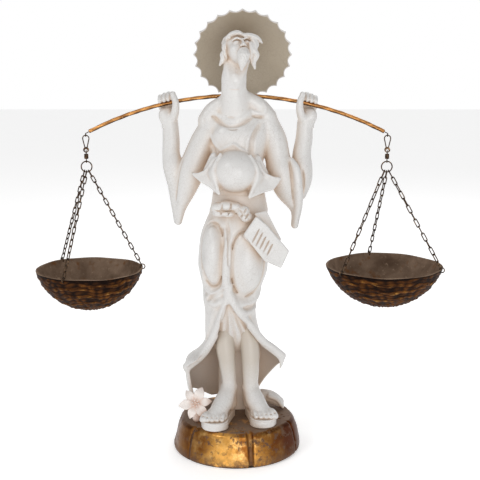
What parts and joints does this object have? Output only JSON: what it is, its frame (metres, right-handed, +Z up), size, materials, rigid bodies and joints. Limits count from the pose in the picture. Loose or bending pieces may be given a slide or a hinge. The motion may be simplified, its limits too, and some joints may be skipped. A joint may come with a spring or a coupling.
{
  "type": "shoulder-pole balance scale figure",
  "caption": "Ceramic bearer on a gilded base holding a bowed shoulder pole, with a chained weighing pan hung from a swivel at each end.",
  "frame": {"origin": "centre of the felt foot's lower face", "axes": "+Z up through the figure, +X to the viewer's right along the pole, the figure faces -Y"},
  "size_m": [0.565, 0.1937, 0.6017],
  "materials": {
    "glaze": "white crackle glaze",
    "gilding": "carved wood, leafed in gold over brown bole, worn and pitted",
    "felt": "brown felt",
    "steel": "plain zinc-plated fastener",
    "pole_metal": "coppery brass, streaked and darkened",
    "dark_wire": "dark bronzed wire",
    "pan_metal": "brown-patinated brass with a woven relief outside, dull grey-brown inside"
  },
  "bodies": {
    "stand": {"base_block": "gilding", "felt_pad": "felt", "anchor_rod": "steel", "anchor_washer": "steel", "anchor_nut": "steel", "left_sandal": "glaze", "left_leg": "glaze", "right_sandal": "glaze", "right_leg": "glaze", "robe_skirt": "glaze", "torso": "glaze", "left_sleeve": "glaze", "left_forearm": "glaze", "left_hand": "glaze", "right_sleeve": "glaze", "right_forearm": "glaze", "right_hand": "glaze", "neck": "glaze", "head": "glaze", "hat": "glaze", "sash_knot": "glaze", "sash_end": "glaze", "lily": "glaze", "root_stump": "glaze"},
    "pole": {"pole_rod": "pole_metal", "left_pole_eye": "dark_wire", "right_pole_eye": "dark_wire"},
    "left_snap": {"left_snap_wire": "dark_wire", "left_snap_clip": "dark_wire"},
    "left_swivel": {"left_swivel_barrel": "dark_wire"},
    "left_lower_eye": {"left_swivel_eye": "dark_wire"},
    "left_split_ring": {"left_ring": "dark_wire"},
    "left_weighing_pan": {"left_chain_1": "dark_wire", "left_chain_2": "dark_wire", "left_chain_3": "dark_wire", "left_pan_shackles": "dark_wire", "left_pan": "pan_metal"},
    "right_snap": {"right_snap_wire": "dark_wire", "right_snap_clip": "dark_wire"},
    "right_swivel": {"right_swivel_barrel": "dark_wire"},
    "right_lower_eye": {"right_swivel_eye": "dark_wire"},
    "right_split_ring": {"right_ring": "dark_wire"},
    "right_weighing_pan": {"right_chain_1": "dark_wire", "right_chain_2": "dark_wire", "right_chain_3": "dark_wire", "right_pan_shackles": "dark_wire", "right_pan": "pan_metal"}
  },
  "joints": [
    {"name": "pole_slide", "type": "hinge", "parent": "stand", "child": "pole", "pos_m": [0, 0.022, 0.051], "axis": [0, 1, 0], "range_deg": [-1.5, 1.5]},
    {"name": "left_snap_swing", "type": "hinge", "parent": "pole", "child": "left_snap", "pos_m": [-0.204, 0.022, 0.43382], "axis": [0, 1, 0], "range_deg": [-8, 20]},
    {"name": "left_swivel_swing", "type": "hinge", "parent": "left_snap", "child": "left_swivel", "pos_m": [-0.204, 0.022, 0.41082], "axis": [1, 0, 0], "range_deg": [-20, 20]},
    {"name": "left_swivel_spin", "type": "hinge", "parent": "left_swivel", "child": "left_lower_eye", "pos_m": [-0.204, 0.022, 0.41082], "axis": [0, 0, 1], "continuous": true},
    {"name": "left_ring_swing", "type": "hinge", "parent": "left_lower_eye", "child": "left_split_ring", "pos_m": [-0.204, 0.022, 0.39842], "axis": [1, 0, 0], "range_deg": [-10, 10]},
    {"name": "left_pan_swing", "type": "hinge", "parent": "left_split_ring", "child": "left_weighing_pan", "pos_m": [-0.204, 0.022, 0.39117], "axis": [0, 1, 0], "range_deg": [-8, 8]},
    {"name": "right_snap_swing", "type": "hinge", "parent": "pole", "child": "right_snap", "pos_m": [0.204, 0.022, 0.43382], "axis": [0, -1, 0], "range_deg": [-8, 20]},
    {"name": "right_swivel_swing", "type": "hinge", "parent": "right_snap", "child": "right_swivel", "pos_m": [0.204, 0.022, 0.41082], "axis": [1, 0, 0], "range_deg": [-20, 20]},
    {"name": "right_swivel_spin", "type": "hinge", "parent": "right_swivel", "child": "right_lower_eye", "pos_m": [0.204, 0.022, 0.41082], "axis": [0, 0, 1], "continuous": true},
    {"name": "right_ring_swing", "type": "hinge", "parent": "right_lower_eye", "child": "right_split_ring", "pos_m": [0.204, 0.022, 0.39842], "axis": [1, 0, 0], "range_deg": [-10, 10]},
    {"name": "right_pan_swing", "type": "hinge", "parent": "right_split_ring", "child": "right_weighing_pan", "pos_m": [0.204, 0.022, 0.39117], "axis": [0, -1, 0], "range_deg": [-8, 8]}
  ]
}
